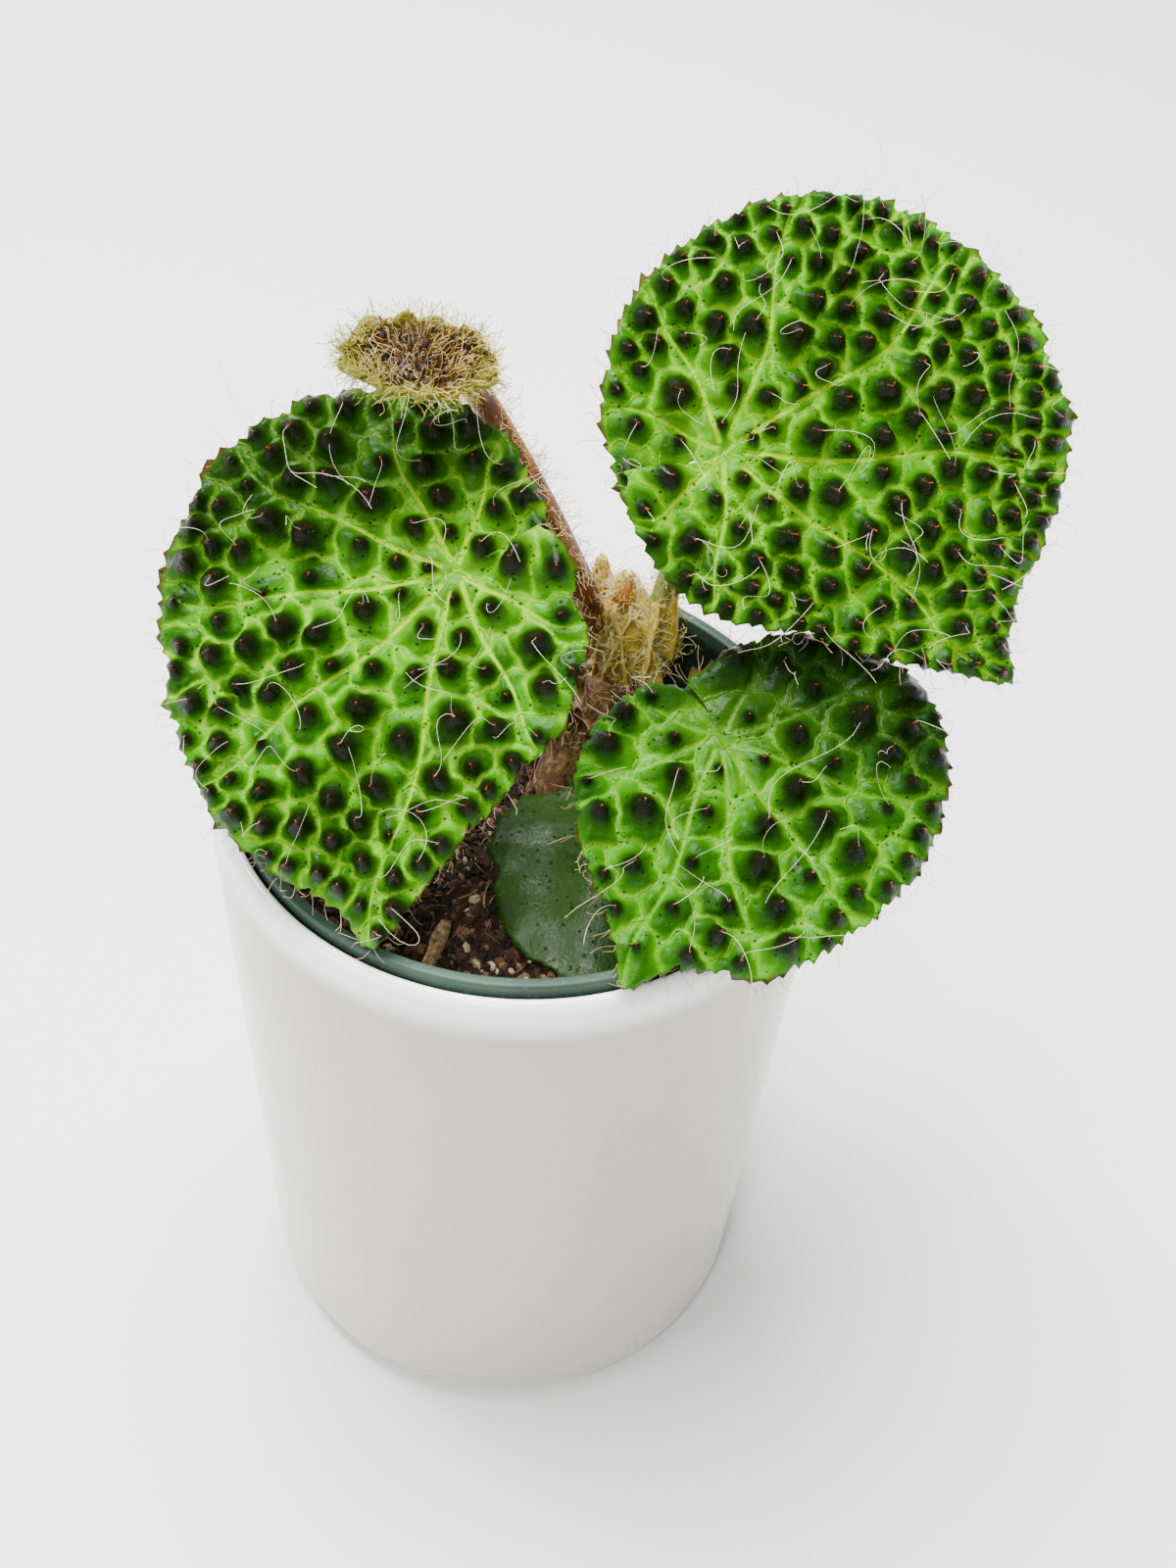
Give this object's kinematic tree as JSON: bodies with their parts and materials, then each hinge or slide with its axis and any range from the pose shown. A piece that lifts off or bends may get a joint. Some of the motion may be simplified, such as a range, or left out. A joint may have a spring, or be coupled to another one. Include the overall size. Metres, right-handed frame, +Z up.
{
  "type": "potted begonia",
  "caption": "Begonia with round, cone-studded leaves and a woolly young leaf, growing in a plastic nursery pot set inside a tapered glazed ceramic cover pot.",
  "frame": {"origin": "the centre of the cover pot's flat base", "axes": "+Z is up along the pot's axis and -Y is the side that the picture looks at"},
  "size_m": [0.1638, 0.12, 0.2425],
  "materials": {
    "white_glaze": "smooth satin white glaze",
    "nursery_plastic": "moulded grey-green plastic with a soft sheen",
    "potting_mix": "dark fibrous peat mix",
    "bright_blade": "glossy bright green leaf with dark cones",
    "deep_blade": "glossy deep green leaf with dark cones",
    "olive_blade": "smooth glossy dark green leaf",
    "woolly_blade": "cream and yellow hairs over red-brown",
    "pale_stalk": "yellow-green fleshy stalk",
    "russet_stalk": "red-brown stalk with pale hairs",
    "dried_stipule": "dry brown papery scales",
    "golden_stipule": "golden papery scales with curled hairs",
    "orange_bud": "fleshy orange bud",
    "bark": "weathered tan bark"
  },
  "bodies": {
    "root": {"cover_pot": "white_glaze", "nursery_pot": "nursery_plastic", "soil": "potting_mix", "leaf_left": "bright_blade", "leaf_right": "bright_blade", "leaf_front": "deep_blade", "leaf_juvenile": "olive_blade", "leaf_young": "woolly_blade", "petiole_left": "pale_stalk", "petiole_right": "pale_stalk", "petiole_front": "pale_stalk", "petiole_juvenile": "pale_stalk", "petiole_young": "russet_stalk", "rhizome": "dried_stipule", "crown_stipules": "golden_stipule", "leaf_bud": "orange_bud", "bark_chip": "bark"}
  },
  "joints": []
}
